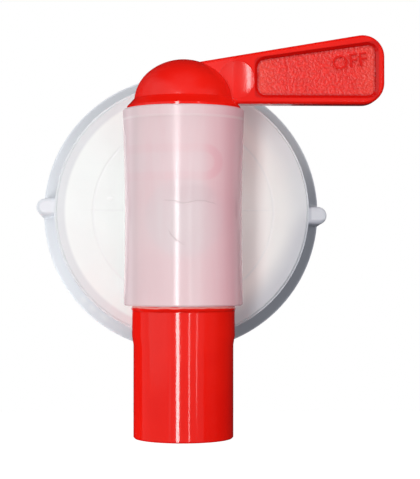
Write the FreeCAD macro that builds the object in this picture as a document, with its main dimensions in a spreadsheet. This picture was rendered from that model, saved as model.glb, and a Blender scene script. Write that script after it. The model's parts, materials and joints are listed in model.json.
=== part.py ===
import FreeCAD, Part
import math
import os
import re
import Sketcher
from FreeCAD import Placement, Rotation, Vector

# A canister tap: a screw cap with a barrel standing in front of it, and a key that turns in the barrel.
# Millimetres and degrees. The cap's axis is the Y axis, its mouth is the plane y = 0 and the canister
# lies on the +Y side. The barrel and the key stand upright on an axis in front of the cap, and the
# handle points to +X, which is the closed position.

sizes = {
    # Screw cap
    "cap_depth": (16.0, "mouth plane to front face"),
    "face_wall": (2.2, "thickness of the front face"),
    "root_radius": (30.9, "wall between the turns of the thread"),
    "root_depth": (9.4, "mouth plane to the end of that wall"),
    "mouth_chamfer": (0.5, "lead-in at the mouth"),
    "seat_inset": (2.2, "pocket for the sealing wad, inside the thread's wall"),
    "skirt_wall": (3.3, "wall of the skirt where it meets the bead"),
    "skirt_taper": (3.25, "how much narrower the skirt is at the ledge round the face, on each side"),
    "rim_stand": (0.3, "how far the bead round the mouth stands out"),
    "rim_depth": (2.4, "width of the bead round the mouth"),
    "rim_edge": (0.4, "height of the bead's chamfers"),
    "ledge_width": (0.35, "ledge round the raised front face"),
    "face_rise": (0.5, "front face above that ledge"),
    "face_round": (0.35, "rounding round the front face"),
    # Two grip ears
    "ear_stand": (1.4, "how far an ear stands out of the bead, at the mouth plane"),
    "ear_width": (5.3, "thickness of an ear, at the mouth plane"),
    "ear_draft": (2.0, "taper of the ears towards the front, in degrees"),
    "ear_sink": (0.2, "ledge round the face back to the top of an ear"),
    "ear_offset": (1.0, "centre line of an ear beside the cap axis"),
    "ear_round": (1.0, "rounding of an ear's top edges"),
    # Neck between cap and barrel
    "neck_length": (5.0, "front face to the barrel"),
    "neck_inset": (1.2, "how much narrower the neck is than the barrel, on each side"),
    "neck_foot": (1.2, "chamfer between neck and front face"),
    "saddle_fillet": (1.2, "fillet from neck to barrel"),
    "passage_radius": (8.4, "liquid passage through the neck"),
    "passage_drop": (2.4, "centre of the liquid passage below the cap axis"),
    "vent_radius": (1.5, "air passage through the neck"),
    "vent_rise": (9.9, "air passage above the cap axis"),
    # Barrel
    "bore_radius": (11.9, "bore that the key turns in"),
    "barrel_wall": (2.1, "wall of the barrel at the rim"),
    "barrel_taper": (0.3, "how much narrower the barrel is at its lower end, on each side"),
    "barrel_waist": (0.35, "how far the barrel's side bows in between its ends"),
    "barrel_edge": (0.35, "chamfer on the barrel's ends"),
    "barrel_top": (22.7, "cap axis up to the barrel's rim"),
    "barrel_bottom": (22.3, "cap axis down to the barrel's lower end"),
    "track_width": (1.0, "recess in the rim that the stop lug runs in"),
    "track_depth": (2.5, "depth of that recess"),
    "stop_play": (1.0, "play of the stop lug at each end of its recess, in degrees"),
    "inlet_radius": (1.4, "air inlet through the barrel wall"),
    "inlet_turn": (115.0, "air inlet, turned from the front towards +X"),
    # Key
    "key_clearance": (0.07, "running clearance of the key in the bore"),
    "key_wall": (2.1, "wall of the key"),
    "collar_gap": (0.1, "collar above the barrel's rim"),
    "collar_inset": (0.9, "edge of the collar inside the barrel's side"),
    "collar_edge": (0.5, "upright edge of the collar"),
    "collar_flare": (1.9, "height of the flare above that edge"),
    "dome_inset": (0.5, "side of the dome inside the barrel's bore"),
    "dome_rise": (1.5, "widest place of the dome above the barrel's rim"),
    "dome_side": (9.4, "rounding of the dome's side"),
    "crown_angle": (38.7, "where the dome's crown meets its side, from the axis, in degrees"),
    "bead_height": (0.17, "retaining bead under the barrel, beyond the key's wall"),
    "bead_width": (0.9, "height of that bead along the axis"),
    "bead_gap": (0.25, "barrel's lower end to the bead"),
    "sleeve_reach": (7.0, "full-size wall of the key below the barrel"),
    "spout_taper": (2.0, "length of the taper to the spout"),
    "spout_inset": (0.35, "side of the spout inside the full-size wall"),
    "spout_length": (30.4, "barrel's lower end to the spout's end"),
    "spout_edge": (0.3, "chamfer at the spout's end"),
    "port_margin": (0.4, "how much wider the key's port is than the liquid passage, on each side"),
    "groove_depth": (1.0, "air groove round the key"),
    "groove_height": (4.6, "height of the air groove"),
    "groove_angle": (128.0, "length of the air groove round the key, in degrees"),
    "groove_middle": (-39.0, "middle of the groove, turned from the front towards +X"),
    "lug_angle": (18.0, "stop lug, angle round the axis"),
    "lug_gap": (0.3, "stop lug to the recess that it runs in"),
    "turn_range": (180.0, "turn of the key from closed to open"),
    # Handle
    "handle_reach": (46.25, "key axis to the end of the handle"),
    "handle_lift": (1.23, "barrel's rim up to the handle's underside"),
    "handle_root": (9.05, "height of the handle, carried on to the key's axis"),
    "handle_slope": (9.65, "rise of the upper edge, in degrees"),
    "handle_corner": (5.0, "corner radius at the handle's end"),
    "handle_thick": (5.2, "thickness of the handle's rim"),
    "handle_round": (0.8, "rounding along the handle's edges"),
    "panel_start": (16.9, "key axis to the sunk panel"),
    "panel_margin": (2.0, "width of the rim below the sunk panel and at its far side"),
    "panel_cover": (1.85, "width of the rim above the panel, at its near side"),
    "panel_slope": (8.3, "rise of the panel's upper edge, in degrees"),
    "panel_corner": (2.1, "corner radius of the panel"),
    "panel_depth": (0.8, "depth of the sunk panel"),
    "panel_edge": (0.6, "chamfer of the panel's rim"),
    "scoop_gap": (0.7, "thumb hollow beside the dome to the panel"),
    "scoop_width": (8.2, "width of that hollow"),
    "scoop_depth": (1.1, "depth of that hollow"),
    "scoop_margin": (1.2, "handle's edge to the hollow, above and below it"),
    # Sealing wad
    "wad_thick": (2.0, "thickness of the sealing wad"),
    "wad_gap": (0.3, "wad to the wall of its pocket"),
    "wad_hole_radius": (12.6, "hole in the wad"),
    # Cutting forms
    "cut_over": (1.0, "how far a cutting form stands out of the solid that it cuts"),
}

# Places that follow from the sizes.
skirt_radius = "(root_radius + skirt_wall)"
rim_radius = "(root_radius + skirt_wall + rim_stand)"
ledge_radius = "(root_radius + skirt_wall - skirt_taper)"
face_radius = f"({ledge_radius} - ledge_width)"
seat_radius = "(root_radius - seat_inset)"
barrel_radius = "(bore_radius + barrel_wall)"
foot_radius = "(bore_radius + barrel_wall - barrel_taper)"
track_radius = "(bore_radius + track_width)"
barrel_forward = f"(cap_depth + neck_length + {barrel_radius})"
neck_radius = f"({barrel_radius} - neck_inset)"
tube_radius = "(bore_radius - key_clearance)"
tube_bore = f"({tube_radius} - key_wall)"
spout_radius = f"({tube_radius} - spout_inset)"
spout_bottom = "(barrel_bottom + spout_length)"

near = 0.001  # lengths closer than this count as the same when edges are picked

doc = FreeCAD.newDocument("canister_tap")
sheet = doc.addObject("Spreadsheet::Sheet", "Sizes")
for row, (alias, (number, note)) in enumerate(sizes.items(), start=1):
    sheet.set(f"A{row}", alias)
    sheet.set(f"B{row}", str(number))
    sheet.setAlias(f"B{row}", alias)
    sheet.set(f"C{row}", note)
doc.recompute()


def cells(formula):
    # The formula with each size's name turned into its cell.
    return re.sub(r"[a-z_]+", lambda name: "Sizes." + name[0] if name[0] in sizes else name[0], formula)


def value(formula):
    # What the formula comes to with the sheet's present numbers.
    return float(sheet.evalExpression(cells(formula)))


def bind(thing, prop, formula):
    thing.setExpression(prop, cells(formula))


def new_body(label):
    body = doc.addObject("PartDesign::Body", label)
    body.Label = label
    return body


def new_sketch(body, name, plane, forward="0", turn="0"):
    # A sketch on one of the body's own origin planes. forward moves it along the plane's normal, and
    # turn then turns it about its own upright axis.
    sketch = body.newObject("Sketcher::SketchObject", name)
    support = next(f for f in body.Origin.OriginFeatures if f.Role == plane)
    sketch.AttachmentSupport = [(support, "")]
    sketch.MapMode = "FlatFace"
    sketch.AttachmentOffset = Placement(Vector(0, 0, value(forward)), Rotation(Vector(0, 1, 0), value(turn)))
    if forward != "0":
        bind(sketch, "AttachmentOffset.Base.z", forward)
    if turn != "0":
        bind(sketch, "AttachmentOffset.Rotation.Angle", turn)
    return sketch


def pin_point(sketch, geometry, end, across, up):
    # Ties one point of the sketch to the sheet. A zero lies on the sketch's own axis.
    for kind, axis, formula in (("DistanceX", -2, across), ("DistanceY", -1, up)):
        if formula == "0":
            sketch.addConstraint(Sketcher.Constraint("PointOnObject", geometry, end, axis))
            continue
        index = sketch.addConstraint(Sketcher.Constraint(kind, -1, 1, geometry, end, value(formula)))
        bind(sketch, f"Constraints[{index}]", formula)


def draw_outline(sketch, corners):
    # A closed outline through the corners. A corner is (across, up), or (across, up, radius, side) where
    # the edge that leaves it is an arc with its centre to the left or the right of the way it runs.
    ends = []
    for index, corner in enumerate(corners):
        following = corners[(index + 1) % len(corners)]
        start = Vector(value(corner[0]), value(corner[1]), 0)
        stop = Vector(value(following[0]), value(following[1]), 0)
        if len(corner) == 2:
            geometry = sketch.addGeometry(Part.LineSegment(start, stop), False)
            ends.append((geometry, 1, 2))
            continue
        radius = value(corner[2])
        left = corner[3] == "left"
        chord = stop - start
        across = Vector(-chord.y, chord.x, 0).normalize() * (1 if left else -1)
        centre = (start + stop) * 0.5 + across * math.sqrt(max(radius**2 - (chord.Length / 2) ** 2, 0))
        begin, finish = (start, stop) if left else (stop, start)
        angle_from = math.atan2(begin.y - centre.y, begin.x - centre.x)
        angle_to = math.atan2(finish.y - centre.y, finish.x - centre.x)
        arc = Part.ArcOfCircle(Part.Circle(centre, Vector(0, 0, 1), radius), angle_from, angle_to)
        geometry = sketch.addGeometry(arc, False)
        ends.append((geometry, 1, 2) if left else (geometry, 2, 1))
        limit = sketch.addConstraint(Sketcher.Constraint("Radius", geometry, radius))
        bind(sketch, f"Constraints[{limit}]", corner[2])
    for index, corner in enumerate(corners):
        geometry, start_end, stop_end = ends[index]
        after, after_start, _ = ends[(index + 1) % len(ends)]
        sketch.addConstraint(Sketcher.Constraint("Coincident", geometry, stop_end, after, after_start))
        pin_point(sketch, geometry, start_end, corner[0], corner[1])


def draw_circle(sketch, across, up, radius):
    centre = Vector(value(across), value(up), 0)
    geometry = sketch.addGeometry(Part.Circle(centre, Vector(0, 0, 1), value(radius)), False)
    pin_point(sketch, geometry, 3, across, up)
    limit = sketch.addConstraint(Sketcher.Constraint("Radius", geometry, value(radius)))
    bind(sketch, f"Constraints[{limit}]", radius)


def draw_axis(sketch, start, stop, up):
    # A level line in the sketch that a feature can turn about.
    ends = (Vector(value(start), value(up), 0), Vector(value(stop), value(up), 0))
    geometry = sketch.addGeometry(Part.LineSegment(*ends), True)
    pin_point(sketch, geometry, 1, start, up)
    pin_point(sketch, geometry, 2, stop, up)


def turned(body, kind, name, sketch, angle="360", axis="V_Axis"):
    # A Revolution or a Groove about the sketch's upright axis, or about a line drawn in it. A part turn
    # lies evenly about the sketch.
    feature = body.newObject(f"PartDesign::{kind}", name)
    feature.Profile = (sketch, [""])
    feature.ReferenceAxis = (sketch, [axis])
    feature.Angle = value(angle)
    if angle != "360":
        bind(feature, "Angle", angle)
        feature.Midplane = True
    doc.recompute()
    return feature


def pulled(body, kind, name, sketch, length, both=False, back=False):
    # A Pad or a Pocket over a length, to one side of the sketch or evenly to both.
    feature = body.newObject(f"PartDesign::{kind}", name)
    feature.Profile = (sketch, [""])
    feature.Length = value(length)
    bind(feature, "Length", length)
    feature.Midplane = both
    feature.Reversed = back
    doc.recompute()
    return feature


def rounded(body, name, edges, radius, kind="Fillet"):
    # Fillet or Chamfer on the edges of the body's last feature that the test picks.
    base = body.Tip
    names = [f"Edge{n}" for n, edge in enumerate(base.Shape.Edges, start=1) if edges(edge)]
    feature = body.newObject(f"PartDesign::{kind}", name)
    feature.Base = (base, names)
    prop = "Radius" if kind == "Fillet" else "Size"
    setattr(feature, prop, value(radius))
    bind(feature, prop, radius)
    doc.recompute()
    return feature


def spots_on(edge):
    # A few points along the edge, enough to tell a straight one from a curved one.
    return edge.discretize(7)


def lies_at(edge, axis, level):
    # Whether the whole edge lies in the plane where x, y or z has this value.
    return all(abs(getattr(spot, axis) - level) < near for spot in spots_on(edge))


def make_tap_body():
    body = new_body("tap_body")

    # Cap, front face and neck, turned about the cap's axis as one solid form.
    form = new_sketch(body, "CapProfile", "XY_Plane")
    draw_outline(form, [
        ("0", "0"),
        (f"{rim_radius} - rim_stand", "0"),
        (rim_radius, "-rim_edge"),
        (rim_radius, "rim_edge - rim_depth"),
        (skirt_radius, "-rim_depth"),
        (ledge_radius, "face_rise - cap_depth"),
        (face_radius, "face_rise - cap_depth"),
        (face_radius, "face_round - cap_depth", "face_round", "right"),
        (f"{face_radius} - face_round", "-cap_depth"),
        (f"{neck_radius} + neck_foot", "-cap_depth"),
        (neck_radius, "-cap_depth - neck_foot"),
        (neck_radius, f"-{barrel_forward}"),
        ("0", f"-{barrel_forward}"),
    ])
    turned(body, "Revolution", "CapAndNeck", form)

    # The two ears, each a bar with a half-round tip, a little to one side of the cap's axis.
    ears = new_sketch(body, "EarOutlines", "XZ_Plane")
    ear_root = f"({seat_radius} - cut_over)"
    ear_reach = f"({rim_radius} + ear_stand)"
    ear_straight = f"({ear_reach} - ear_width / 2)"
    draw_outline(ears, [
        (ear_root, "-ear_offset - ear_width / 2"),
        (ear_straight, "-ear_offset - ear_width / 2", "ear_width / 2", "left"),
        (ear_reach, "-ear_offset", "ear_width / 2", "left"),
        (ear_straight, "ear_width / 2 - ear_offset"),
        (ear_root, "ear_width / 2 - ear_offset"),
    ])
    draw_outline(ears, [
        (f"-{ear_root}", "ear_offset + ear_width / 2"),
        (f"-{ear_straight}", "ear_offset + ear_width / 2", "ear_width / 2", "left"),
        (f"-{ear_reach}", "ear_offset", "ear_width / 2", "left"),
        (f"-{ear_straight}", "ear_offset - ear_width / 2"),
        (f"-{ear_root}", "ear_offset - ear_width / 2"),
    ])
    bars = pulled(body, "Pad", "Ears", ears, "cap_depth - face_rise - ear_sink")
    bind(bars, "TaperAngle", "-ear_draft")
    doc.recompute()
    ear_level = -value("cap_depth - face_rise - ear_sink")

    def on_ear_top(edge):
        reaches = [math.hypot(spot.x, spot.z) for spot in spots_on(edge)]
        return lies_at(edge, "y", ear_level) and max(reaches) - min(reaches) > near

    rounded(body, "EarRounds", on_ear_top, "ear_round")

    # Barrel outside, slightly waisted, upright in front of the cap.
    outside = new_sketch(body, "BarrelProfile", "XZ_Plane", forward=barrel_forward)
    side_height = "(barrel_top + barrel_bottom - 2 * barrel_edge)"
    side_radius = f"({side_height} ^ 2 + barrel_taper ^ 2) / (8 * barrel_waist) + barrel_waist / 2"
    draw_outline(outside, [
        ("0", "-barrel_bottom"),
        (f"{foot_radius} - barrel_edge", "-barrel_bottom"),
        (foot_radius, "barrel_edge - barrel_bottom", side_radius, "right"),
        (barrel_radius, "barrel_top - barrel_edge"),
        (f"{barrel_radius} - barrel_edge", "barrel_top"),
        ("0", "barrel_top"),
    ])
    turned(body, "Revolution", "Barrel", outside)
    neck = value(neck_radius)
    barrel_back = -value(f"{barrel_forward} - {barrel_radius}")

    def on_saddle(edge):
        on_neck = all(abs(math.hypot(spot.x, spot.z) - neck) < near for spot in spots_on(edge))
        return on_neck and max(spot.y for spot in spots_on(edge)) < barrel_back

    rounded(body, "Saddle", on_saddle, "saddle_fillet")

    # Hollow of the cap: lead-in, wall of the thread and pocket of the wad.
    hollow = new_sketch(body, "CapHollowProfile", "XY_Plane")
    draw_outline(hollow, [
        ("0", "0"),
        ("0", "face_wall - cap_depth"),
        (seat_radius, "face_wall - cap_depth"),
        (seat_radius, "-root_depth - seat_inset"),
        ("root_radius", "-root_depth"),
        ("root_radius", "-mouth_chamfer"),
        ("root_radius + mouth_chamfer", "0"),
    ])
    turned(body, "Groove", "CapHollow", hollow)

    # Bore of the barrel with a small lead-in at both ends.
    bore = new_sketch(body, "BoreProfile", "XZ_Plane", forward=barrel_forward)
    draw_outline(bore, [
        ("0", "-barrel_bottom"),
        ("bore_radius + barrel_edge", "-barrel_bottom"),
        ("bore_radius", "barrel_edge - barrel_bottom"),
        ("bore_radius", "barrel_top - barrel_edge"),
        ("bore_radius + barrel_edge", "barrel_top"),
        ("0", "barrel_top"),
    ])
    turned(body, "Groove", "Bore", bore)

    # Recess in the rim for the stop lug, open on the front half and as long as the turn and the lug.
    track = new_sketch(body, "StopTrackProfile", "XZ_Plane", forward=barrel_forward, turn="-90")
    draw_outline(track, [
        ("bore_radius - cut_over", "barrel_top - track_depth"),
        (track_radius, "barrel_top - track_depth"),
        (track_radius, "barrel_top"),
        ("bore_radius - cut_over", "barrel_top"),
    ])
    turned(body, "Groove", "StopTrack", track, "turn_range + lug_angle + 2 * stop_play")

    # Liquid passage and air passage, from the cap's hollow through the neck to the bore.
    liquid = new_sketch(body, "LiquidPassageOutline", "XZ_Plane")
    draw_circle(liquid, "0", "-passage_drop", "passage_radius")
    pulled(body, "Pocket", "LiquidPassage", liquid, barrel_forward, back=True)
    vent = new_sketch(body, "AirPassageOutline", "XZ_Plane")
    draw_circle(vent, "0", "vent_rise", "vent_radius")
    pulled(body, "Pocket", "AirPassage", vent, barrel_forward, back=True)

    # Air inlet through the barrel's wall, behind its +X side.
    inlet = new_sketch(body, "AirInletOutline", "XZ_Plane", forward=barrel_forward, turn="inlet_turn")
    draw_circle(inlet, "0", "vent_rise", "inlet_radius")
    pulled(body, "Pocket", "AirInlet", inlet, f"{barrel_radius} + cut_over", back=True)
    return body


def draw_paddle(sketch, start, far, bottom, top, slope, far_corner, start_corner=None):
    # A paddle that widens towards its far end: top is the upper edge's height at the start, and the upper
    # edge rises by slope. The far corners are round, and the first ones too where a radius is given.
    far_top = f"({top} + ({far} - {start}) * tan({slope}))"
    far_run = f"{far_corner} * (1 + sin({slope})) / cos({slope})"
    outline = [
        (f"{far} - {far_corner}", bottom, far_corner, "left"),
        (far, f"{bottom} + {far_corner}"),
        (far, f"{far_top} - {far_run}", far_corner, "left"),
        (f"{far} - {far_run} * cos({slope})", f"{far_top} - {far_run} * sin({slope})"),
    ]
    if start_corner is None:
        outline += [(start, top), (start, bottom)]
    else:
        run = f"{start_corner} * (1 - sin({slope})) / cos({slope})"
        outline += [
            (f"{start} + {run} * cos({slope})", f"{top} + {run} * sin({slope})", start_corner, "left"),
            (start, f"{top} - {run}"),
            (start, f"{bottom} + {start_corner}", start_corner, "left"),
            (f"{start} + {start_corner}", bottom),
        ]
    draw_outline(sketch, outline)


def make_key():
    body = new_body("key")

    # Handle: a flat paddle, sunk on both faces, with a hollow beside the dome.
    handle_bottom = "(barrel_top + handle_lift)"
    handle_top = f"({handle_bottom} + handle_root)"
    paddle = new_sketch(body, "HandleOutline", "XZ_Plane", forward=barrel_forward)
    draw_paddle(paddle, "0", "handle_reach", handle_bottom, handle_top, "handle_slope", "handle_corner")
    pulled(body, "Pad", "Handle", paddle, "handle_thick", both=True)

    def on_handle_edge(edge):
        # The edges along both faces, but not the upright ones across a face nor the ones across the rim.
        depths = [spot.y for spot in spots_on(edge)]
        across_face = lies_at(edge, "x", edge.Vertexes[0].X) and not lies_at(edge, "x", value("handle_reach"))
        return not across_face and max(depths) - min(depths) < value("handle_thick / 2")

    rounded(body, "HandleEdges", on_handle_edge, "handle_round")

    # Thumb hollow: a shallow dish in each face, an arc turned about a level line in front of the face. It
    # is as high as the handle there, less its margins.
    sides = (("+", "Front", "right"), ("-", "Back", "left"))
    scoop_end = "(panel_start - scoop_gap)"
    scoop_start = f"({scoop_end} - scoop_width)"
    scoop_middle = f"({scoop_end} - scoop_width / 2)"
    scoop_radius = "scoop_width ^ 2 / (8 * scoop_depth) + scoop_depth / 2"
    height_there = f"(handle_root + {scoop_middle} * tan(handle_slope))"
    scoop_half = f"({height_there} / 2 - scoop_margin)"
    scoop_level = f"({handle_bottom} + {height_there} / 2)"
    scoop_swing = f"(({scoop_half} ^ 2 - scoop_depth ^ 2) / (2 * scoop_depth))"
    for side, name, centre_side in sides:
        face = f"{barrel_forward} {side} handle_thick / 2"
        scoop = new_sketch(body, f"{name}ScoopProfile", "XY_Plane", forward=scoop_level)
        draw_outline(scoop, [
            (scoop_start, f"-({face})", scoop_radius, centre_side),
            (scoop_end, f"-({face})"),
        ])
        draw_axis(scoop, scoop_start, scoop_end, f"-({face} {side} {scoop_swing})")
        turned(body, "Groove", f"{name}Scoop", scoop, axis="Axis0")

    panel_bottom = f"({handle_bottom} + panel_margin)"
    panel_top = f"({handle_top} + panel_start * tan(handle_slope) - panel_cover)"
    for side, name, _ in sides:
        face = f"{barrel_forward} {side} handle_thick / 2"
        panel = new_sketch(body, f"{name}PanelOutline", "XZ_Plane", forward=face)
        draw_paddle(panel, "panel_start", "(handle_reach - panel_margin)", panel_bottom, panel_top,
                    "panel_slope", "panel_corner", "panel_corner")
        plain_centres = [edge.CenterOfMass for edge in body.Tip.Shape.Edges]
        pulled(body, "Pocket", f"{name}Panel", panel, "panel_depth", back=side == "-")

        def on_panel_rim(edge):
            centre = edge.CenterOfMass
            is_new = all(centre.distanceToPoint(other) > near for other in plain_centres)
            return is_new and lies_at(edge, "y", -value(face))

        rounded(body, f"{name}PanelRim", on_panel_rim, "panel_edge", "Chamfer")

    # Spout, tube, collar and dome as one solid form turned about the key's axis. The dome's side and its
    # flatter crown are two arcs that meet without a kink.
    form = new_sketch(body, "KeyProfile", "XZ_Plane", forward=barrel_forward)
    bead_top = "-barrel_bottom - bead_gap"
    collar_radius = f"({barrel_radius} - collar_inset)"
    dome_radius = "(bore_radius - dome_inset)"
    dome_level = "(barrel_top + dome_rise)"
    side_centre = f"({dome_radius} - dome_side)"
    crown_extra = f"({side_centre} / sin(crown_angle))"
    crown_radius = f"(dome_side + {crown_extra})"
    crown_centre = f"({dome_level} - {crown_extra} * cos(crown_angle))"
    flare_top = "(barrel_top + collar_gap + collar_edge + collar_flare)"
    flare_radius = f"{side_centre} + sqrt(dome_side ^ 2 - ({flare_top} - {dome_level}) ^ 2)"
    draw_outline(form, [
        ("0", f"-{spout_bottom}"),
        (f"{spout_radius} - spout_edge", f"-{spout_bottom}"),
        (spout_radius, f"spout_edge - {spout_bottom}"),
        (spout_radius, "-barrel_bottom - sleeve_reach - spout_taper"),
        (tube_radius, "-barrel_bottom - sleeve_reach"),
        (tube_radius, f"{bead_top} - bead_width"),
        (f"{tube_radius} + bead_height", f"{bead_top} - bead_width / 2"),
        (tube_radius, bead_top),
        (tube_radius, "barrel_top + collar_gap"),
        (collar_radius, "barrel_top + collar_gap"),
        (collar_radius, "barrel_top + collar_gap + collar_edge"),
        (flare_radius, flare_top, "dome_side", "left"),
        (f"{crown_radius} * sin(crown_angle)", f"{crown_centre} + {crown_radius} * cos(crown_angle)",
         crown_radius, "left"),
        ("0", f"{crown_centre} + {crown_radius}"),
    ])
    turned(body, "Revolution", "TubeAndDome", form)

    # Stop lug under the collar, below the handle, which runs in the recess of the barrel's rim.
    lug = new_sketch(body, "StopLugProfile", "XZ_Plane", forward=barrel_forward)
    draw_outline(lug, [
        (f"{tube_radius} - key_wall / 2", "barrel_top - track_depth + lug_gap"),
        (f"{track_radius} - lug_gap", "barrel_top - track_depth + lug_gap"),
        (f"{track_radius} - lug_gap", "barrel_top + collar_gap"),
        (f"{tube_radius} - key_wall / 2", "barrel_top + collar_gap"),
    ])
    turned(body, "Revolution", "StopLug", lug, "lug_angle")

    # Bore from the spout's end up into the hollow dome, which keeps the key's wall.
    bore = new_sketch(body, "KeyBoreProfile", "XZ_Plane", forward=barrel_forward)
    inner_crown = f"({crown_radius} - key_wall)"
    draw_outline(bore, [
        ("0", f"-{spout_bottom}"),
        (f"{tube_bore} + spout_edge", f"-{spout_bottom}"),
        (tube_bore, f"spout_edge - {spout_bottom}"),
        (tube_bore, "barrel_top - key_wall"),
        (f"{dome_radius} - key_wall", dome_level, "dome_side - key_wall", "left"),
        (f"{inner_crown} * sin(crown_angle)", f"{crown_centre} + {inner_crown} * cos(crown_angle)",
         inner_crown, "left"),
        ("0", f"{crown_centre} + {inner_crown}"),
    ])
    turned(body, "Groove", "KeyBore", bore)

    # Liquid port, facing away from the neck while the key is closed.
    port = new_sketch(body, "PortOutline", "XZ_Plane", forward=barrel_forward)
    draw_circle(port, "0", "-passage_drop", "passage_radius + port_margin")
    pulled(body, "Pocket", "Port", port, "bore_radius + cut_over", back=True)

    # Air groove round the outside of the tube, level with the air passage.
    groove = new_sketch(body, "AirGrooveProfile", "XZ_Plane", barrel_forward, "groove_middle - 90")
    draw_outline(groove, [
        (f"{tube_radius} - groove_depth", "vent_rise - groove_height / 2"),
        ("bore_radius + cut_over", "vent_rise - groove_height / 2"),
        ("bore_radius + cut_over", "vent_rise + groove_height / 2"),
        (f"{tube_radius} - groove_depth", "vent_rise + groove_height / 2"),
    ])
    turned(body, "Groove", "AirGroove", groove, "groove_angle")
    return body


def make_sealing_wad():
    body = new_body("sealing_wad")
    ring = new_sketch(body, "WadProfile", "XY_Plane")
    draw_outline(ring, [
        ("wad_hole_radius", "face_wall - cap_depth"),
        (f"{seat_radius} - wad_gap", "face_wall - cap_depth"),
        (f"{seat_radius} - wad_gap", "face_wall + wad_thick - cap_depth"),
        ("wad_hole_radius", "face_wall + wad_thick - cap_depth"),
    ])
    turned(body, "Revolution", "Wad", ring)
    return body


bodies = [make_tap_body(), make_key(), make_sealing_wad()]
doc.recompute()

for thing in doc.Objects:
    if "Invalid" in thing.State or "Error" in thing.State:
        raise RuntimeError(f"{thing.Label} failed: {thing.State}")
for body in bodies:
    if body.Shape.isNull() or not body.Shape.isValid() or len(body.Shape.Solids) != 1:
        raise RuntimeError(f"{body.Label} is not one sound solid")

os.makedirs("parts", exist_ok=True)
for body in bodies:
    body.Shape.exportStep(f"parts/{body.Label}.step")
    box = body.Shape.optimalBoundingBox(False)
    extent = f"{box.XLength:.1f} x {box.YLength:.1f} x {box.ZLength:.1f} mm"
    print(f"{body.Label}: {body.Shape.Volume:.1f} mm3, {extent}")
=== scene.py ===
import json
import math

import bmesh
import bpy
from mathutils import Matrix, Vector


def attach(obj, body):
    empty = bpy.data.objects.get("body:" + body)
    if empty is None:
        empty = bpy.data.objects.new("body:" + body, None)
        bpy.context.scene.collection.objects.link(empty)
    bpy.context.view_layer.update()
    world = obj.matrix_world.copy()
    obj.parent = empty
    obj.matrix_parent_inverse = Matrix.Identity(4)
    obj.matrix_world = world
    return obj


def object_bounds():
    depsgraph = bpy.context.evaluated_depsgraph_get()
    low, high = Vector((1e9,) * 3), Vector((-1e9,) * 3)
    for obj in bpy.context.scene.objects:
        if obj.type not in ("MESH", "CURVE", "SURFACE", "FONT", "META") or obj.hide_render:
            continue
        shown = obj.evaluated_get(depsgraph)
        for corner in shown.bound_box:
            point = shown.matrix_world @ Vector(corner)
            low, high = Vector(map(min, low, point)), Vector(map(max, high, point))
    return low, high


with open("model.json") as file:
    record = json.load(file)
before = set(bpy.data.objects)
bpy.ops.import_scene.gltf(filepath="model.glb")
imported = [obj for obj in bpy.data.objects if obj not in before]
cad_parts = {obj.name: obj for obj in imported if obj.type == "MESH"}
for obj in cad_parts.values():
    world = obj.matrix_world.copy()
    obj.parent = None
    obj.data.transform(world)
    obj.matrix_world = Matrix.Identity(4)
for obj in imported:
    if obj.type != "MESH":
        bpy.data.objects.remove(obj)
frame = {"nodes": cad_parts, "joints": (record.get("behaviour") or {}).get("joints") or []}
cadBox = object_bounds()
nodes = frame["nodes"]
keyAxis = Vector(frame["joints"][0]["pos_m"])
print("frame loaded")

mm = 0.001
white = (1.0, 1.0, 1.0)
faceY = -16.0 * mm  # front face of the cap


# small helpers for node trees and meshes

def newTree(name):
    material = bpy.data.materials.new(name)
    material.use_nodes = True
    material.node_tree.nodes.clear()
    return material, material.node_tree


def addNode(tree, kind, **values):
    node = tree.nodes.new(kind)
    for key, value in values.items():
        setattr(node, key, value)
    return node


def link(tree, source, output, target, socket):
    tree.links.new(source.outputs[output], target.inputs[socket])


def mathNode(tree, operation, first, second=None):
    node = addNode(tree, "ShaderNodeMath", operation=operation)
    for index, value in enumerate((first, second)):
        if value is None:
            continue
        if isinstance(value, (int, float)):
            node.inputs[index].default_value = value
        else:
            tree.links.new(value, node.inputs[index])
    return node.outputs[0]


def ramp(tree, value, fromLow, fromHigh, toLow=0.0, toHigh=1.0, kind="SMOOTHSTEP"):
    node = addNode(tree, "ShaderNodeMapRange", interpolation_type=kind)
    tree.links.new(value, node.inputs["Value"])
    node.inputs["From Min"].default_value = fromLow
    node.inputs["From Max"].default_value = fromHigh
    node.inputs["To Min"].default_value = toLow
    node.inputs["To Max"].default_value = toHigh
    return node.outputs["Result"]


def noise(tree, scale, detail, roughness=0.5, stretch=(1.0, 1.0, 1.0)):
    place = addNode(tree, "ShaderNodeTexCoord")
    mapping = addNode(tree, "ShaderNodeMapping")
    mapping.inputs["Scale"].default_value = stretch
    link(tree, place, "Object", mapping, "Vector")
    node = addNode(tree, "ShaderNodeTexNoise")
    node.inputs["Scale"].default_value = scale
    node.inputs["Detail"].default_value = detail
    node.inputs["Roughness"].default_value = roughness
    link(tree, mapping, "Vector", node, "Vector")
    return node.outputs["Fac"]


def mixColor(tree, factor, first, second):
    node = addNode(tree, "ShaderNodeMix", data_type="RGBA")
    tree.links.new(factor, node.inputs["Factor"])
    for socket, value in ((node.inputs[6], first), (node.inputs[7], second)):
        if isinstance(value, tuple):
            socket.default_value = (*value, 1.0)
        else:
            tree.links.new(value, socket)
    return node.outputs[2]


def tinted(tree, color, layer):
    # the colour multiplied by a layer
    node = addNode(tree, "ShaderNodeMix", data_type="RGBA", blend_type="MULTIPLY")
    node.inputs["Factor"].default_value = 1.0
    tree.links.new(color, node.inputs[6])
    tree.links.new(layer, node.inputs[7])
    return node.outputs[2]


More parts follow.
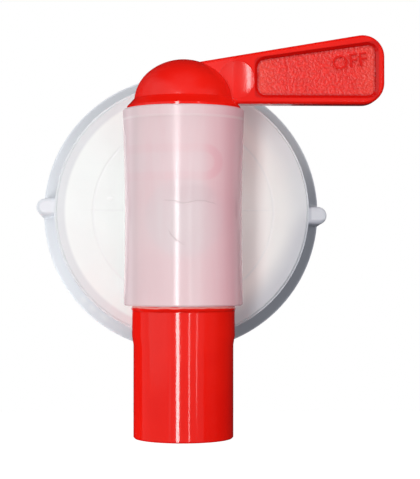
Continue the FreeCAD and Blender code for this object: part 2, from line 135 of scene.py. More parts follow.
def distanceFrom(tree, centre, across):
    # distance from the centre along the axes that aren't nought in across, each stretched by its number there
    place = addNode(tree, "ShaderNodeTexCoord")
    mapping = addNode(tree, "ShaderNodeMapping")
    mapping.inputs["Location"].default_value = [-c * a for c, a in zip(centre, across)]
    mapping.inputs["Scale"].default_value = across
    link(tree, place, "Object", mapping, "Vector")
    node = addNode(tree, "ShaderNodeVectorMath", operation="LENGTH")
    link(tree, mapping, "Vector", node, "Vector")
    return node.outputs["Value"]


def alongAxis(tree, axis, output="Object"):
    place = addNode(tree, "ShaderNodeTexCoord")
    split = addNode(tree, "ShaderNodeSeparateXYZ")
    link(tree, place, output, split, "Vector")
    return split.outputs[axis]


def band(tree, value, middle, width, soft):
    # one inside a band of that width round the middle, nought outside it
    away = mathNode(tree, "ABSOLUTE", mathNode(tree, "SUBTRACT", value, middle))
    return ramp(tree, away, width / 2, width / 2 + soft, 1.0, 0.0)


def above(tree, value, edge, soft):
    return ramp(tree, value, edge - soft / 2, edge + soft / 2)


def below(tree, value, edge, soft):
    return ramp(tree, value, edge - soft / 2, edge + soft / 2, 1.0, 0.0)


def without(tree, share):
    return mathNode(tree, "SUBTRACT", 1.0, share)


def times(tree, *factors):
    product = factors[0]
    for factor in factors[1:]:
        product = mathNode(tree, "MULTIPLY", product, factor)
    return product


def plus(tree, *terms):
    total = terms[0]
    for term in terms[1:]:
        total = mathNode(tree, "ADD", total, term)
    return total


def bump(tree, height, shader):
    # relief in metres, as the surface's bump
    node = addNode(tree, "ShaderNodeBump")
    node.inputs["Strength"].default_value = 1.0
    node.inputs["Distance"].default_value = 1.0
    tree.links.new(height, node.inputs["Height"])
    link(tree, node, "Normal", shader, "Normal")


def finishPiece(name, shape, body, material, smooth=True):
    # a bmesh becomes a piece at the origin that rides on a body
    mesh = bpy.data.meshes.new(name)
    shape.to_mesh(mesh)
    shape.free()
    mesh.polygons.foreach_set("use_smooth", [smooth] * len(mesh.polygons))
    piece = bpy.data.objects.new(name, mesh)
    bpy.context.scene.collection.objects.link(piece)
    mesh.materials.append(material)
    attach(piece, body)


# finish of the cap and barrel: natural polyethylene, milky and a little see-through at the barrel; some light
# and shade is painted into its colour

milky = {
    "overWad": (0.85, 0.885, 0.866),
    # painted shade: the face darker and warmer on its right side
    "overWadShadedRight": (0.855, 0.856, 0.835),
    # less red round the spout, painted against the red light that the spout throws on the face
    "besideSpoutBounceCancelled": (0.79, 0.92, 0.905),
    # painted pink light on the face beside the barrel, lifting the barrel's shadow
    "besideBarrel": (0.96, 0.90, 0.88),
    "solidRing": (0.70, 0.725, 0.74),
    # painted shade: the solid ring darker towards +X and down
    "solidRingShaded": (0.56, 0.58, 0.615),
    "thinWall": (0.77, 0.80, 0.845),
    "thinWallShaded": (0.46, 0.485, 0.545),  # towards +X and down: painted shade, darker on the side away from the lamps
    "earShare": 0.6,  # how far the ears keep out of that painted shade
    "barrel": (0.99, 0.845, 0.87),
    "barrelPort": (0.99, 0.90, 0.915),  # over the port, where less red lies behind the wall
    "portShare": 0.7,
    "barrelShadedRed": (0.99, 0.63, 0.69),  # towards +X: painted shade, redder on the side away from the lamps
    "seeThrough": 0.40,
    "roughCap": 0.34,
    "roughBarrel": (3.0 * mm, 19.0 * mm, 0.17, 0.26),  # between two heights, from foot to top
    "ior": 1.51,
    # layers that multiply the colour
    "cloud": {"noise": (70.0, 3.0), "range": (0.3, 0.7), "tint": (0.98, 0.968, 0.972)},
    "streaks": {"noise": (45.0, 3.0, 0.6, (7.0, 7.0, 0.6)), "range": (0.35, 0.65), "tint": (0.995, 0.96, 0.966)},
    # painted shade along the barrel's left edge
    "leftEdgeShade": (0.80, 0.76, 0.77),
    # noise and height of the relief
    "waves": {"noise": (110.0, 2.0), "relief": 0.030 * mm},
    "grain": {"noise": (1400.0, 2.0), "relief": 0.0022 * mm},
}

zones = {
    # an edge, and how wide its soft crossing is
    "barrel": (15.25 * mm, 0.5 * mm),  # from the key's axis
    "skirt": (faceY + 0.6 * mm, 0.6 * mm),
    "face": (faceY + 0.25 * mm, 0.1 * mm),
    "barrelFront": (keyAxis.y - 10.0 * mm, 1.0 * mm),
    "earLevel": (2.0 * mm, 0.4 * mm),
    "earReach": (31.6 * mm, 0.6 * mm),  # from the cap's axis
    "aroundSpout": (17.0 * mm, 12.0 * mm),
    "aroundPort": (6.0 * mm, 6.0 * mm),
    # a middle, a width and a soft edge
    "besideBarrel": (15.0 * mm, 4.0 * mm, 6.0 * mm),
    # where a change starts and ends, and from what to what
    "wadSharp": (28.0 * mm, 28.9 * mm),  # from the cap's axis
    "wadSoft": (23.4 * mm, 29.9 * mm),
    "right": (-4.0 * mm, 15.0 * mm),
    # painted shade on the skirt and the ring, growing towards +X and down
    "wallShadeRange": (12.0 * mm, 34.0 * mm),
    "ringShadeRange": (26.0 * mm, 36.0 * mm),
    "redderInShade": (1.0 * mm, 12.0 * mm),
    "barrelLeft": (-13.4 * mm, -10.0 * mm, 1.0, 0.0),
    "thicker": (-13.0 * mm, -10.5 * mm, 0.25, 1.0),
    # a centre, and the stretch of the distance from it
    "spoutPlace": ((0.0, 0.0, -27.0 * mm), (1.0, 0.0, 0.75)),
    "portPlace": ((0.0, 0.0, -4.5 * mm), (0.55, 0.0, 1.0)),
}

# marks of the mould, and what lies behind the barrel's wall; each line is a middle, a width and a soft edge
marks = {
    "witness": {
        "place": ((0.3 * mm, 0.0, -0.3 * mm), (1, 0, 1)),
        "line": (21.9 * mm, 0.3 * mm, 0.2 * mm),
        "relief": -0.03 * mm,
    },
    "parting": {
        "line": (0.2 * mm, 0.15 * mm, 0.15 * mm),
        "fade": (15.0 * mm, 27.0 * mm, 1.0, 0.0),  # from the cap's axis
        "besideBarrel": (14.3 * mm, 0.3 * mm),
        "relief": 0.03 * mm,
    },
    "gate": {
        "place": ((-17.3 * mm, 0.0, 3.2 * mm), (0.6, 0.0, 1.0)),
        "size": (0.45 * mm, 0.5 * mm),
        "relief": 0.05 * mm,
    },
    "core": {
        "place": ((2.5 * mm, 0.0, -1.95 * mm), (1, 0, 1)),
        "line": (7.04 * mm, 0.16 * mm, 0.2 * mm),
        "across": (-1.8 * mm, 2.6 * mm, 0.8 * mm),
        "under": (-5.0 * mm, 1.0 * mm),
        "noise": (260.0, 1.0),
        "broken": (0.38, 0.50),
    },
    "seam": {
        "level": 0.9 * mm,
        "width": 0.10 * mm,
        "soft": 0.2 * mm,
        "across": (1.2 * mm, 10.4 * mm, 1.0 * mm),
        "noise": (190.0, 1.5),
        "wave": 3.2 * mm,
    },
    "flowRelief": -0.05 * mm,  # of core and seam
    "topLine": {"line": (20.3 * mm, 0.3 * mm, 0.25 * mm), "relief": 0.02 * mm},
    "shade": {
        "place": ((2.2 * mm, 0.0, 2.9 * mm), (0.38, 0.0, 1.0)),
        "size": (1.9 * mm, 1.2 * mm),
        "tint": (0.965, 0.955, 0.96),
    },
    "lip": {  # round the key's air groove
        "end": 4.5 * mm,
        "level": 9.9 * mm,
        "line": (3.1 * mm, 1.1 * mm, 0.8 * mm),
        "front": (keyAxis.y - 4.0 * mm, 2.0 * mm),
        "stronger": (3.5 * mm, 6.0 * mm, 0.3, 1.0),
        "tint": (1.0, 0.90, 0.92),
    },
    "dots": {
        "places": ((-24.2, -21.6), (-21.9, -23.7), (-19.0, -26.0)),
        "size": (0.85 * mm, 1.7 * mm),
        "relief": 0.04 * mm,
    },
}

markColors = {
    # share and colour
    "face": (0.35, (0.80, 0.81, 0.82)),
    "spots": (0.35, (0.95, 0.95, 0.95)),
    "topLine": (0.30, (0.98, 0.93, 0.93)),
    "flow": (0.22, (0.62, 0.50, 0.52)),
}


def faceMarks(tree, across, height, fromCapAxis, onFace):
    # ring, parting line and gate on the cap's face
    witness, parting, gate = marks["witness"], marks["parting"], marks["gate"]
    ring = band(tree, distanceFrom(tree, *witness["place"]), *witness["line"])
    fade = ramp(tree, fromCapAxis, *parting["fade"])
    besideBarrel = above(tree, mathNode(tree, "ABSOLUTE", across), *parting["besideBarrel"])
    line = times(tree, fade, besideBarrel, band(tree, height, *parting["line"]))
    spot = below(tree, distanceFrom(tree, *gate["place"]), *gate["size"])
    return [times(tree, onFace, mark) for mark in (ring, line, spot)]


def flowMarks(tree, across, height, inFront):
    # broken arc and wavy line on the barrel's front
    core, seam = marks["core"], marks["seam"]
    broken = ramp(tree, noise(tree, *core["noise"]), *core["broken"])
    atCore = times(tree, band(tree, across, *core["across"]), below(tree, height, *core["under"]))
    onArc = band(tree, distanceFrom(tree, *core["place"]), *core["line"])
    wavy = plus(tree, height, times(tree, noise(tree, *seam["noise"]), seam["wave"]))
    onSeam = band(tree, wavy, seam["level"] + seam["wave"] / 2, seam["width"], seam["soft"])
    return plus(
        tree,
        times(tree, inFront, broken, atCore, onArc),
        times(tree, inFront, onSeam, band(tree, across, *seam["across"])),
    )


def grooveLip(tree, across, depth, height):
    # rim of the key's air groove, which shows through the barrel's wall
    lip = marks["lip"]
    pastEnd = mathNode(tree, "MAXIMUM", mathNode(tree, "SUBTRACT", across, lip["end"]), 0.0)
    fromLip = addNode(tree, "ShaderNodeCombineXYZ")
    tree.links.new(pastEnd, fromLip.inputs["X"])
    tree.links.new(mathNode(tree, "SUBTRACT", height, lip["level"]), fromLip.inputs["Z"])
    away = addNode(tree, "ShaderNodeVectorMath", operation="LENGTH")
    link(tree, fromLip, "Vector", away, "Vector")
    inFront = below(tree, depth, *lip["front"])
    atEnd = ramp(tree, across, *lip["stronger"])
    return times(tree, inFront, atEnd, band(tree, away.outputs["Value"], *lip["line"]))


def capColor(tree, across, height, fromCapAxis, onSkirt):
    # over the wad, over the solid ring outside it, and the thin wall of the skirt; ring and wall carry painted
    # shade towards +X and down
    sharpEdge = ramp(tree, fromCapAxis, *zones["wadSharp"])
    softEdge = ramp(tree, fromCapAxis, *zones["wadSoft"])
    onRight = ramp(tree, across, *zones["right"])
    softer = times(tree, onRight, mathNode(tree, "SUBTRACT", softEdge, sharpEdge))
    pastWad = plus(tree, softer, sharpEdge)
    towardsFar = mathNode(tree, "SUBTRACT", across, height)
    atEarLevel = below(tree, mathNode(tree, "ABSOLUTE", height), *zones["earLevel"])
    onEar = times(tree, atEarLevel, above(tree, fromCapAxis, *zones["earReach"]))
    offEar = without(tree, times(tree, onEar, milky["earShare"]))
    # painted shade: the skirt's wall darker towards +X and down, away from the lamps
    wallShadeShare = times(tree, ramp(tree, towardsFar, *zones["wallShadeRange"]), offEar)
    wall = mixColor(tree, wallShadeShare, milky["thinWall"], milky["thinWallShaded"])
    # painted shade: the solid ring darker towards +X and down
    ringShadeShare = ramp(tree, towardsFar, *zones["ringShadeRange"])
    solid = mixColor(tree, ringShadeShare, milky["solidRing"], milky["solidRingShaded"])
    # less red painted round the spout, against the red light it throws on the face
    aroundSpout = below(tree, distanceFrom(tree, *zones["spoutPlace"]), *zones["aroundSpout"])
    wad = mixColor(tree, aroundSpout, milky["overWad"], milky["besideSpoutBounceCancelled"])
    # painted shade on the face's right side
    wad = mixColor(tree, onRight, wad, milky["overWadShadedRight"])
    # painted pink light beside the barrel, lifting its shadow on the face
    wad = mixColor(tree, band(tree, across, *zones["besideBarrel"]), wad, milky["besideBarrel"])
    return mixColor(tree, pastWad, wad, mixColor(tree, onSkirt, solid, wall))


def barrelColor(tree, across):
    aroundPort = below(tree, distanceFrom(tree, *zones["portPlace"]), *zones["aroundPort"])
    color = mixColor(tree, times(tree, aroundPort, milky["portShare"]), milky["barrel"], milky["barrelPort"])
    # painted shade: the barrel redder towards +X, away from the lamps
    return mixColor(tree, ramp(tree, across, *zones["redderInShade"]), color, milky["barrelShadedRed"])


def milkyPlastic():
    material, tree = newTree("milkyPlastic")
    out = addNode(tree, "ShaderNodeOutputMaterial")
    shader = addNode(tree, "ShaderNodeBsdfPrincipled")
    across, depth, height = (alongAxis(tree, axis) for axis in "XYZ")
    fromCapAxis = distanceFrom(tree, (0, 0, 0), (1, 0, 1))
    onBarrel = below(tree, distanceFrom(tree, keyAxis, (1, 1, 0)), *zones["barrel"])
    onSkirt = above(tree, depth, *zones["skirt"])
    onFace = times(tree, below(tree, depth, *zones["face"]), without(tree, onBarrel))
    inFront = below(tree, depth, *zones["barrelFront"])

    # marks
    witness, parting, gate = faceMarks(tree, across, height, fromCapAxis, onFace)
    flow = flowMarks(tree, across, height, inFront)
    lip = grooveLip(tree, across, depth, height)
    shade = marks["shade"]
    shaded = times(tree, inFront, below(tree, distanceFrom(tree, *shade["place"]), *shade["size"]))
    topLine = times(tree, onBarrel, band(tree, height, *marks["topLine"]["line"]))
    dotsAway = [distanceFrom(tree, (x * mm, 0.0, z * mm), (1, 0, 1)) for x, z in marks["dots"]["places"]]
    dots = times(tree, plus(tree, *[below(tree, away, *marks["dots"]["size"]) for away in dotsAway]), onSkirt)

    # colour
    cloud, streaks = (ramp(tree, noise(tree, *milky[name]["noise"]), *milky[name]["range"])
                      for name in ("cloud", "streaks"))
    # painted shade: the barrel darker along its left edge
    atLeft = times(tree, onBarrel, ramp(tree, across, *zones["barrelLeft"]))
    cap = capColor(tree, across, height, fromCapAxis, onSkirt)
    color = mixColor(tree, onBarrel, cap, barrelColor(tree, across))
    for layer in (
        mixColor(tree, cloud, milky["cloud"]["tint"], white),
        mixColor(tree, times(tree, onBarrel, streaks), white, milky["streaks"]["tint"]),
        mixColor(tree, lip, white, marks["lip"]["tint"]),
        mixColor(tree, shaded, white, shade["tint"]),
        mixColor(tree, atLeft, white, milky["leftEdgeShade"]),
    ):
        color = tinted(tree, color, layer)
    for name, where in (
        ("face", mathNode(tree, "MAXIMUM", witness, parting)),
        ("spots", plus(tree, gate, dots)),
        ("topLine", topLine),
        ("flow", flow),
    ):
        share, paint = markColors[name]
        color = mixColor(tree, times(tree, where, share), color, paint)
    tree.links.new(color, shader.inputs["Base Color"])

    # see-through and roughness
    thicker = ramp(tree, across, *zones["thicker"])
    alpha = without(tree, times(tree, onBarrel, thicker, milky["seeThrough"]))
    tree.links.new(alpha, shader.inputs["Alpha"])
    rough = addNode(tree, "ShaderNodeMix", data_type="FLOAT")
    tree.links.new(onBarrel, rough.inputs[0])
    rough.inputs[2].default_value = milky["roughCap"]
    tree.links.new(ramp(tree, height, *milky["roughBarrel"]), rough.inputs[3])
    tree.links.new(rough.outputs[0], shader.inputs["Roughness"])
    shader.inputs["IOR"].default_value = milky["ior"]

    relief = plus(
        tree,
        times(tree, noise(tree, *milky["waves"]["noise"]), milky["waves"]["relief"]),
        times(tree, noise(tree, *milky["grain"]["noise"]), milky["grain"]["relief"]),
        times(tree, witness, marks["witness"]["relief"]),
        times(tree, parting, marks["parting"]["relief"]),
        times(tree, gate, marks["gate"]["relief"]),
        times(tree, flow, marks["flowRelief"]),
        times(tree, topLine, marks["topLine"]["relief"]),
        times(tree, dots, marks["dots"]["relief"]),
    )
    bump(tree, relief, shader)
    link(tree, shader, "BSDF", out, "Surface")
    return material


# finish of the key: glossy red plastic, with fine grain on the floor of the sunk panels, and painted sheen and
# shade on that floor

red = {
    "base": (0.855, 0.010, 0.004),
    "deep": (0.80, 0.007, 0.003),
    # painted sheen: paler red at the ends of the panels' floor, and painted glints on its grain
    "paintedSheen": (0.88, 0.09, 0.05),
    # dark red: painted shade in the grain's pits and along the panel's sunk rim; it also darkens the letters'
    # tops
    "edge": (0.55, 0.003, 0.002),
    "gap": (0.93, 0.49, 0.49),  # where the key stands off the barrel's wall
    "inBarrel": (0.0, 43.0 * mm, 0.5 * mm),  # middle, width and soft edge in height
    "offWall": (11.48 * mm, 0.3 * mm),  # from the key's axis
    "cloud": {"noise": (55.0, 3.0), "range": (0.3, 0.7), "rough": 0.03},
    "rough": 0.08,
    "ior": 1.49,
    "waves": {"noise": (95.0, 2.0), "relief": 0.035 * mm},
    "bead": {"line": (-22.9 * mm, 0.9 * mm, 0.3 * mm), "noise": (420.0, 1.0), "relief": 0.30 * mm},
    "dome": {"foot": (23.0 * mm, 0.6 * mm), "reach": (11.6 * mm, 1.0 * mm), "rough": 0.14},
    "taper": {"top": -29.3 * mm, "length": 2.0 * mm, "inset": 0.35 * mm},
}

flash = {
    "level": -22.6 * mm,
    "width": 0.22 * mm,
    "soft": 0.15 * mm,
    "noise": (260.0, 1.0),
    "wave": 0.5 * mm,
    "share": 0.8,
    "color": (0.97, 0.45, 0.40),
}

hollow = {
    "centre": (12.1 * mm, 29.5 * mm),  # across and up
    "radius": (8.2 * mm, 9.15 * mm),
    "depth": 1.1 * mm,
    "inside": (2.75 * mm, 0.2 * mm),  # from the middle of the handle
    "edge": (0.0, 0.1 * mm),
    "flatter": 0.62,
    "rough": 0.10,
}

panel = {
    "start": 16.9 * mm,
    "end": 44.25 * mm,
    "bottom": 25.93 * mm,
    "top": 34.0 * mm,  # at the start
    "slope": 8.3,
    "corner": 2.0 * mm,
    "facing": (0.97, 0.02),  # how squarely a face looks to the front or back
    "outline": (0.0, 0.2 * mm),
    "floor": (1.95 * mm, 0.1 * mm),  # from the middle of the handle
    # painted shade along the sunk rim
    "rim": {"line": (0.1 * mm, 0.6 * mm, 0.5 * mm), "from": (15.0 * mm, 1.0 * mm), "share": 0.85},
    "word": {"inside": (-0.6 * mm, 0.3 * mm), "top": (2.2 * mm, 0.25 * mm, 0.1 * mm), "share": 0.45},
    # the grain's paler flecks are painted glints
    "grain": {"noise": (2600.0, 2.0), "range": (0.50, 0.72), "paintedSheen": 0.26, "relief": 0.11 * mm},
    # the pits' share of dark red is painted shade
    "pits": {"noise": (1500.0, 1.0), "range": (0.40, 0.62), "share": 0.40, "relief": 0.20 * mm},
    "middle": 30.5 * mm,
    # painted sheen, growing towards the panel's ends
    "ends": {"range": (7.0 * mm, 14.5 * mm), "paintedSheen": 0.32},  # from the middle
    "rough": 0.28,
}


def panelDistance(tree, across, height):
    # distance outwards from the panel's outline, with its corners rounded
    slope = math.radians(panel["slope"])
    sides = (
        mathNode(tree, "SUBTRACT", panel["start"], across),
        mathNode(tree, "SUBTRACT", across, panel["end"]),
        mathNode(tree, "SUBTRACT", panel["bottom"], height),
        plus(tree, times(tree, height, math.cos(slope)), times(tree, across, -math.sin(slope)),
             panel["start"] * math.sin(slope) - panel["top"] * math.cos(slope)),
    )
    distance = sides[0]
    for side in sides[1:]:
        node = addNode(tree, "ShaderNodeMath", operation="SMOOTH_MAX")
        tree.links.new(distance, node.inputs[0])
        tree.links.new(side, node.inputs[1])
        node.inputs[2].default_value = panel["corner"]
        distance = node.outputs[0]
    return distance


def hollowDepth(tree, across, height, fromMiddle):
    # how deep the hollow beside the dome lies under the handle's face
    sunk = hollow["depth"]
    for place, centre, radius in zip((across, height), hollow["centre"], hollow["radius"]):
        aside = mathNode(tree, "ABSOLUTE", mathNode(tree, "SUBTRACT", place, centre))
        squared = mathNode(tree, "POWER", aside, 2.0)
        sunk = mathNode(tree, "SUBTRACT", sunk, times(tree, squared, 0.5 / radius))
    return times(tree, mathNode(tree, "MAXIMUM", sunk, 0.0), below(tree, fromMiddle, *hollow["inside"]))


def redPlastic():
    material, tree = newTree("redPlastic")
    out = addNode(tree, "ShaderNodeOutputMaterial")
    shader = addNode(tree, "ShaderNodeBsdfPrincipled")
    across, depth, height = (alongAxis(tree, axis) for axis in "XYZ")
    fromKeyAxis = distanceFrom(tree, keyAxis, (1, 1, 0))
    fromMiddle = mathNode(tree, "ABSOLUTE", mathNode(tree, "SUBTRACT", depth, keyAxis.y))
    grain, pits, ends, rim, word = (panel[name] for name in ("grain", "pits", "ends", "rim", "word"))
    cloud, waves, bead, dome, taper = (red[name] for name in ("cloud", "waves", "bead", "dome", "taper"))

    # the handle's panels
    flat = above(tree, mathNode(tree, "ABSOLUTE", alongAxis(tree, "Y", "Normal")), *panel["facing"])
    outwards = panelDistance(tree, across, height)
    inOutline = below(tree, outwards, *panel["outline"])
    onFloor = times(tree, flat, inOutline, below(tree, fromMiddle, *panel["floor"]))
    # painted shade along the panel's sunk rim
    shadeOnRim = times(tree, band(tree, outwards, *rim["line"]), above(tree, across, *rim["from"]))
    onWord = times(tree, flat, below(tree, outwards, *word["inside"]), band(tree, fromMiddle, *word["top"]))
    grains = noise(tree, *grain["noise"])
    coarse = noise(tree, *pits["noise"])
    # painted shade in the grain's pits
    pitShade = without(tree, ramp(tree, coarse, *pits["range"]))
    fromCentre = mathNode(tree, "ABSOLUTE", mathNode(tree, "SUBTRACT", across, panel["middle"]))
    # painted sheen at the panel's ends and painted glints on its grain
    sheenAtEnds = times(tree, ramp(tree, fromCentre, *ends["range"]), ends["paintedSheen"])
    glintsInGrain = times(tree, ramp(tree, grains, *grain["range"]), grain["paintedSheen"])

    # the rest of the key
    inHollow = hollowDepth(tree, across, height, fromMiddle)
    behindWall = times(tree, band(tree, height, *red["inBarrel"]), below(tree, fromKeyAxis, *red["offWall"]))
    waved = plus(tree, height, times(tree, noise(tree, *flash["noise"]), flash["wave"]))
    onFlash = band(tree, waved, flash["level"] + flash["wave"] / 2, flash["width"], flash["soft"])
    evenTaper = ramp(tree, height, taper["top"] - taper["length"], taper["top"], taper["inset"], 0.0, "LINEAR")
    onDome = times(tree, above(tree, height, *dome["foot"]), below(tree, fromKeyAxis, *dome["reach"]))
    clouds = ramp(tree, noise(tree, *cloud["noise"]), *cloud["range"])

    color = mixColor(tree, clouds, red["deep"], red["base"])
    for where, paint in (
        (times(tree, onFloor, pitShade, pits["share"]), red["edge"]),
        (times(tree, onFloor, plus(tree, sheenAtEnds, glintsInGrain)), red["paintedSheen"]),
        (times(tree, onWord, word["share"]), red["edge"]),
        (times(tree, shadeOnRim, rim["share"]), red["edge"]),
        (times(tree, onFlash, flash["share"]), flash["color"]),
        (behindWall, red["gap"]),
    ):
        color = mixColor(tree, where, color, paint)
    tree.links.new(color, shader.inputs["Base Color"])

    rough = plus(
        tree,
        times(tree, onFloor, panel["rough"]),
        times(tree, clouds, cloud["rough"]),
        times(tree, onDome, dome["rough"]),
        times(tree, ramp(tree, inHollow, *hollow["edge"]), hollow["rough"]),
        red["rough"],
    )
    tree.links.new(rough, shader.inputs["Roughness"])
    shader.inputs["IOR"].default_value = red["ior"]

    floorRelief = plus(tree, times(tree, grains, grain["relief"]), times(tree, coarse, pits["relief"]))
    relief = plus(
        tree,
        times(tree, noise(tree, *waves["noise"]), waves["relief"]),
        times(tree, onFloor, floorRelief),
        times(tree, band(tree, height, *bead["line"]), noise(tree, *bead["noise"]), bead["relief"]),
        times(tree, inHollow, hollow["flatter"]),
        evenTaper,
    )
    bump(tree, relief, shader)
    link(tree, shader, "BSDF", out, "Surface")
    return material


# finish of the wad: white foam

foam = {
    "cell": (0.82, 0.82, 0.81),
    "skin": (0.88, 0.88, 0.87),
    "scale": 1500.0,
    "range": (0.35, 0.65),
    "colorDetail": 2.0,
    "reliefDetail": 3.0,
    "relief": 0.05 * mm,
    "rough": 0.85,
}


def wadFoam():
    material, tree = newTree("wadFoam")
    out = addNode(tree, "ShaderNodeOutputMaterial")
    shader = addNode(tree, "ShaderNodeBsdfPrincipled")
    cells = ramp(tree, noise(tree, foam["scale"], foam["colorDetail"]), *foam["range"])
    tree.links.new(mixColor(tree, cells, foam["cell"], foam["skin"]), shader.inputs["Base Color"])
    shader.inputs["Roughness"].default_value = foam["rough"]
    bump(tree, times(tree, noise(tree, foam["scale"], foam["reliefDetail"]), foam["relief"]), shader)
    link(tree, shader, "BSDF", out, "Surface")
    return material


def dress(node, material):
    for slotOfNode in nodes[node].material_slots:
        slotOfNode.material = material


milkyFinish = milkyPlastic()
redFinish = redPlastic()
dress("tap_body", milkyFinish)
dress("key", redFinish)
dress("sealing_wad", wadFoam())
print("materials set")


# thread inside the cap: one ridge that winds to the right and runs out at both ends

thread = {
    "wall": 30.9 * mm,
    "sink": 0.1 * mm,
    "crest": 29.5 * mm,
    "rootHalf": 1.15 * mm,
    "crestHalf": 0.45 * mm,
    "start": -8.0 * mm,
    "pitch": 4.0 * mm,
    "turns": 1.6,
    "stepAngle": 5.0,
    "runOut": 30.0,  # degrees over which an end rises out of the wall
    "order": (1.0, 37.0, 0.61),  # direction in which the mesh's parts are put in order
}


def makeThread():
    shape = bmesh.new()
    root, crest = thread["wall"] + thread["sink"], thread["crest"]
    corners = (
        (root, -thread["rootHalf"]),
        (crest, -thread["crestHalf"]),
        (crest, thread["crestHalf"]),
        (root, thread["rootHalf"]),
    )
    verts = [shape.verts.new((radius, thread["start"] + y, 0.0)) for radius, y in corners]
    ring = verts + [shape.edges.new((verts[i], verts[(i + 1) % 4])) for i in range(4)]
    first = [part for part in ring if isinstance(part, bmesh.types.BMEdge)]
    step = math.radians(thread["stepAngle"])
    count = round(thread["turns"] * 360.0 / thread["stepAngle"])
    rise = Vector((0.0, thread["pitch"] * thread["stepAngle"] / 360.0, 0.0))
    rings = [list(verts)]
    for _ in range(count):
        turned = bmesh.ops.spin(
            shape, geom=ring, cent=(0, 0, 0), axis=(0, 1, 0), dvec=rise, angle=step, steps=1)
        ring = turned["geom_last"]
        rings.append([part for part in ring if isinstance(part, bmesh.types.BMVert)])
    last = [part for part in ring if isinstance(part, bmesh.types.BMEdge)]
    # the ends are still full here: once they are flat, the ridge may come out inside out
    bmesh.ops.edgeloop_fill(shape, edges=first)
    bmesh.ops.edgeloop_fill(shape, edges=last)
    bmesh.ops.recalc_face_normals(shape, faces=shape.faces)
    for index, corner in enumerate(rings):
        fromEnd = min(index, count - index) * thread["stepAngle"]
        left = 1.0 - min(1.0, fromEnd / thread["runOut"])
        for vert in corner:
            radius = math.hypot(vert.co.x, vert.co.z)
            wanted = radius + (root - radius) * left ** 2
            vert.co.x *= wanted / radius
            vert.co.z *= wanted / radius
    # spin leaves the order of its parts to chance, and this gives every run the same mesh
    order = Vector(thread["order"])
    shape.verts.sort(key=lambda vert: vert.co.dot(order))
    shape.edges.sort(key=lambda edge: (edge.verts[0].co + edge.verts[1].co).dot(order))
    shape.faces.sort(key=lambda face: face.calc_center_median().dot(order))
    finishPiece("cap_thread_ridge", shape, "body", milkyFinish)


# words raised on the floor of the handle's panels

words = {
    "OFF": {"name": "word_off", "middle": (38.2, 33.9), "width": 8.0, "back": False},
    "ON": {"name": "word_on", "middle": (38.9, 34.0), "width": 5.6, "back": True},
}

letter = {
    "height": 3.2,
    "tilt": 8.0,
    "floor": 1.75 * mm,  # from the middle of the handle
    "top": 2.25 * mm,
    "extrude": 0.5,
    "resolution": 6,
    "merge": 1e-5,
}


def makeWord(letters, place):
    curve = bpy.data.curves.new(place["name"], "FONT")
    curve.body = letters
    curve.extrude = letter["extrude"]
    curve.resolution_u = letter["resolution"]
    text = bpy.data.objects.new(place["name"] + "_text", curve)
    bpy.context.scene.collection.objects.link(text)
    bpy.context.view_layer.update()
    mesh = bpy.data.meshes.new_from_object(text)
    bpy.data.objects.remove(text)
    shape = bmesh.new()
    shape.from_mesh(mesh)
    bpy.data.meshes.remove(mesh)
    bmesh.ops.remove_doubles(shape, verts=shape.verts, dist=letter["merge"])
    low = [min(vert.co[axis] for vert in shape.verts) for axis in range(3)]
    high = [max(vert.co[axis] for vert in shape.verts) for axis in range(3)]
    thick = letter["top"] - letter["floor"]
    sizes = (place["width"] * mm, letter["height"] * mm, thick)
    toMiddle = Matrix.Translation([-(a + b) / 2 for a, b in zip(low, high)])
    toSize = Matrix.Diagonal([size / (b - a) for size, a, b in zip(sizes, low, high)]).to_4x4()
    tilt = Matrix.Rotation(math.radians(-letter["tilt"] if place["back"] else letter["tilt"]), 4, "Z")
    upright = Matrix.Rotation(math.radians(90.0), 4, "X")
    around = Matrix.Rotation(math.radians(180.0 if place["back"] else 0.0), 4, "Z")
    side = 1.0 if place["back"] else -1.0
    away = side * (letter["floor"] + thick / 2)
    x, z = place["middle"]
    put = Matrix.Translation((x * mm, keyAxis.y + away, z * mm))
    bmesh.ops.transform(shape, matrix=put @ around @ upright @ tilt @ toSize @ toMiddle, verts=shape.verts)
    bmesh.ops.recalc_face_normals(shape, faces=shape.faces)
    finishPiece(place["name"], shape, "key", redFinish, smooth=False)


makeThread()
for letters, place in words.items():
    makeWord(letters, place)
print("thread and words made")


# camera, lamps, floor and backdrop

photo = {
    "height": 479,
    "focal": 1483.4,  # pixels
    "sensor": 36.0,
    "eye": (-6.0 * mm, -376.4 * mm, -12.57 * mm),
    "yaw": 2.031,
    "pitch": 0.907,
}


def makeCamera():
    data = bpy.data.cameras.new("camera")
    data.sensor_width = photo["sensor"]
    data.lens = photo["focal"] * photo["sensor"] / photo["height"]
    camera = bpy.data.objects.new("camera", data)
    bpy.context.scene.collection.objects.link(camera)
    yaw, pitch = math.radians(photo["yaw"]), math.radians(photo["pitch"])
    look = Vector((math.sin(yaw) * math.cos(pitch), math.cos(yaw) * math.cos(pitch), math.sin(pitch)))
    camera.rotation_mode = "QUATERNION"
    camera.location = photo["eye"]
    camera.rotation_quaternion = look.to_track_quat("-Z", "Y")
    bpy.context.scene.camera = camera


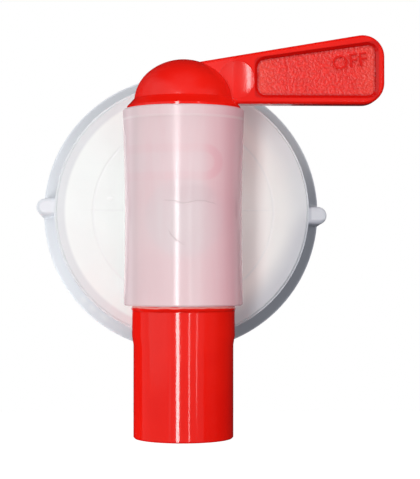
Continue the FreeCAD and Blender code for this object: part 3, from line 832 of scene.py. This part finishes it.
lamps = {
    # name: (degrees to the left of the front, elevation, distance, width, height, watts, shows as a gloss)
    "strip": (13.7, 3.0, 1.0, 0.12, 0.62, 4.0, True),
    "frontGlow": (-6.0, 5.0, 1.3, 2.2, 1.9, 4.3, True),
    "nearLeft": (28.0, 10.0, 0.4, 0.3, 0.3, 0.09, False),
    "leftRim": (140.0, 28.0, 0.6, 0.4, 0.5, 1.5, False),
    "leftGlow": (70.0, 20.0, 1.0, 1.9, 1.4, 2.5, True),
    "leftCore": (60.0, 20.0, 1.0, 0.98, 1.0, 1.1, True),
    "leftFill": (85.0, 15.0, 1.0, 1.0, 1.0, 0.4, False),
    "right": (-63.0, 8.0, 1.0, 0.6, 0.8, 3.4, False),
    "above": (0.0, 60.0, 1.0, 0.8, 0.8, 2.8, False),
    "lowLeft": (125.0, -27.0, 0.4, 0.2, 0.2, 1.3, False),
    "below": (60.0, -76.0, 0.30, 0.15, 0.15, 0.15, False),
    "behind": (180.0, 15.0, 1.0, 0.8, 0.8, 3.0, False),
    "faintStrip": (-11.8, -7.0, 1.0, 0.03, 0.32, 0.27, True),
    "farStrip": (-29.0, 2.0, 1.0, 0.03, 0.36, 0.14, True),
}
lampAim = (0.0, -30.0 * mm, 0.0)


def makeLamps():
    aim = Vector(lampAim)
    for name, (azimuth, elevation, distance, width, height, watts, glossy) in lamps.items():
        data = bpy.data.lights.new(name, "AREA")
        data.shape = "RECTANGLE"
        data.size, data.size_y = width, height
        data.energy = watts
        lamp = bpy.data.objects.new(name, data)
        bpy.context.scene.collection.objects.link(lamp)
        around, up = math.radians(azimuth), math.radians(elevation)
        away = Vector((-math.sin(around) * math.cos(up), -math.cos(around) * math.cos(up), math.sin(up)))
        lamp.location = aim + away * distance
        lamp.rotation_mode = "QUATERNION"
        lamp.rotation_quaternion = (-away).to_track_quat("-Z", "Y")
        lamp.visible_camera = False
        lamp.visible_glossy = glossy


world = {"fill": (0.10, 0.103, 0.11), "gloss": (0.015, 0.015, 0.018), "background": white}


def makeWorld():
    sky = bpy.data.worlds.new("studio")
    sky.use_nodes = True
    bpy.context.scene.world = sky
    tree = sky.node_tree
    tree.nodes.clear()
    out = addNode(tree, "ShaderNodeOutputWorld")
    rays = addNode(tree, "ShaderNodeLightPath")
    seen = mixColor(tree, rays.outputs["Is Glossy Ray"], world["fill"], world["gloss"])
    color = mixColor(tree, rays.outputs["Is Camera Ray"], seen, world["background"])
    light = addNode(tree, "ShaderNodeBackground")
    tree.links.new(color, light.inputs["Color"])
    link(tree, light, "Background", out, "Surface")


stage = {"drop": 0.30, "reach": 3.0, "color": (0.86, 0.86, 0.87), "lift": 0.97}


def makeFloor():
    shape = bmesh.new()
    bmesh.ops.create_grid(shape, x_segments=1, y_segments=1, size=stage["reach"])
    bmesh.ops.translate(shape, verts=shape.verts, vec=(0.0, 0.0, cadBox[0].z - stage["drop"]))
    mesh = bpy.data.meshes.new("floor")
    shape.to_mesh(mesh)
    shape.free()
    floor = bpy.data.objects.new("floor", mesh)
    bpy.context.scene.collection.objects.link(floor)
    material, tree = newTree("paleFloor")
    out = addNode(tree, "ShaderNodeOutputMaterial")
    paint = addNode(tree, "ShaderNodeBsdfDiffuse")
    paint.inputs["Color"].default_value = (*stage["color"], 1.0)
    glow = addNode(tree, "ShaderNodeEmission")
    glow.inputs["Color"].default_value = (*white, 1.0)
    rays = addNode(tree, "ShaderNodeLightPath")
    lift = mathNode(tree, "MULTIPLY", rays.outputs["Is Camera Ray"], stage["lift"])
    tree.links.new(lift, glow.inputs["Strength"])
    both = addNode(tree, "ShaderNodeAddShader")
    tree.links.new(paint.outputs[0], both.inputs[0])
    tree.links.new(glow.outputs[0], both.inputs[1])
    link(tree, both, "Shader", out, "Surface")
    mesh.materials.append(material)
    floor.visible_diffuse = False
    floor.visible_glossy = False


makeCamera()
makeLamps()
makeWorld()
makeFloor()
bpy.context.scene.view_settings.view_transform = "Standard"
print("camera, lamps and floor set")
